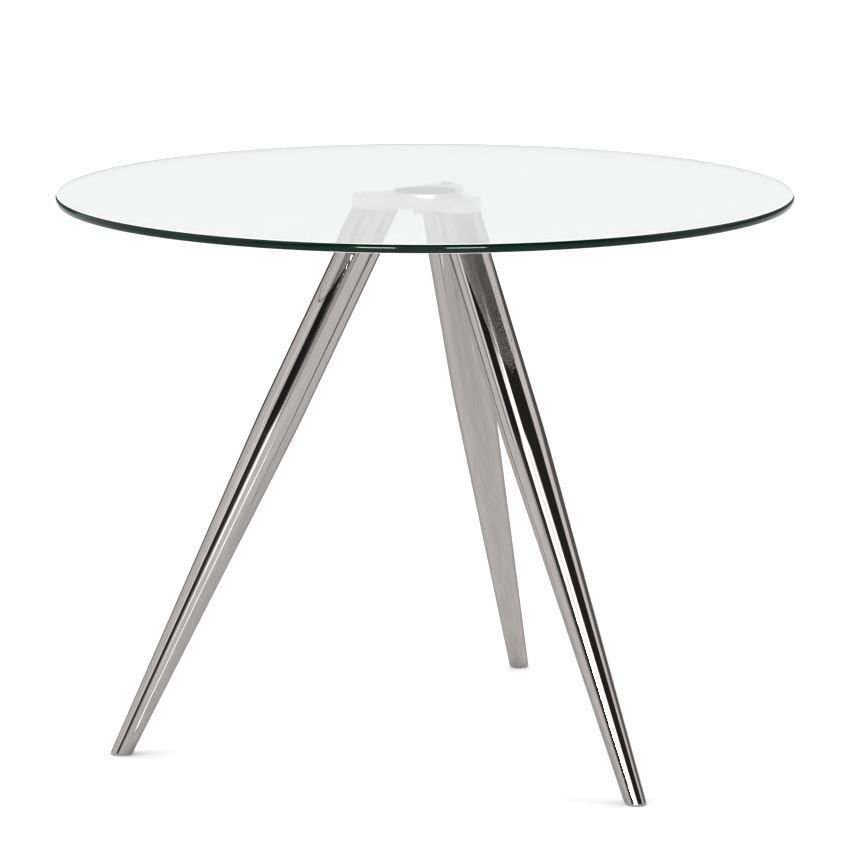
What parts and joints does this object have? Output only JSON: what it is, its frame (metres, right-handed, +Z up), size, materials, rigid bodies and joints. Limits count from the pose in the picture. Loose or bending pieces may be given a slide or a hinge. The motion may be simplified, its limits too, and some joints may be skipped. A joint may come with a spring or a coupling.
{
  "type": "round glass dining table",
  "caption": "Round clear glass table top on a fixed tripod of chromed tapered tubes that meet under a lobed hub.",
  "frame": {"origin": "on the floor, under the middle of the glass top", "axes": "+Z up along the table's axis, +Y over leg_1, legs 2 and 3 at 120 degrees to it"},
  "size_m": [1, 1, 0.77],
  "materials": {
    "clear_glass": "polished toughened glass with a rounded, polished rim",
    "stainless_steel": "turned stainless steel",
    "chrome_hub": "polished chrome plate",
    "chrome_tube": "polished chrome plate",
    "bare_steel": "mill finish, welded in",
    "plated_fastener": "zinc plate",
    "clear_pad": "clear soft pad, matt",
    "nylon_glide": "moulded grey nylon"
  },
  "bodies": {
    "root": {"glass_top": "clear_glass", "bonded_disc": "stainless_steel", "hub": "chrome_hub", "support_pad_1": "clear_pad", "support_pad_2": "clear_pad", "support_pad_3": "clear_pad", "leg_1": "chrome_tube", "leg_2": "chrome_tube", "leg_3": "chrome_tube", "leg_end_plate_1": "bare_steel", "leg_end_plate_2": "bare_steel", "leg_end_plate_3": "bare_steel", "leg_screws_1": "plated_fastener", "leg_screws_2": "plated_fastener", "leg_screws_3": "plated_fastener", "glass_bolt_1": "plated_fastener", "glass_bolt_2": "plated_fastener", "glass_bolt_3": "plated_fastener", "glass_washer_1": "plated_fastener", "glass_washer_2": "plated_fastener", "glass_washer_3": "plated_fastener", "foot_glide_1": "nylon_glide", "foot_glide_2": "nylon_glide", "foot_glide_3": "nylon_glide"}
  },
  "joints": []
}
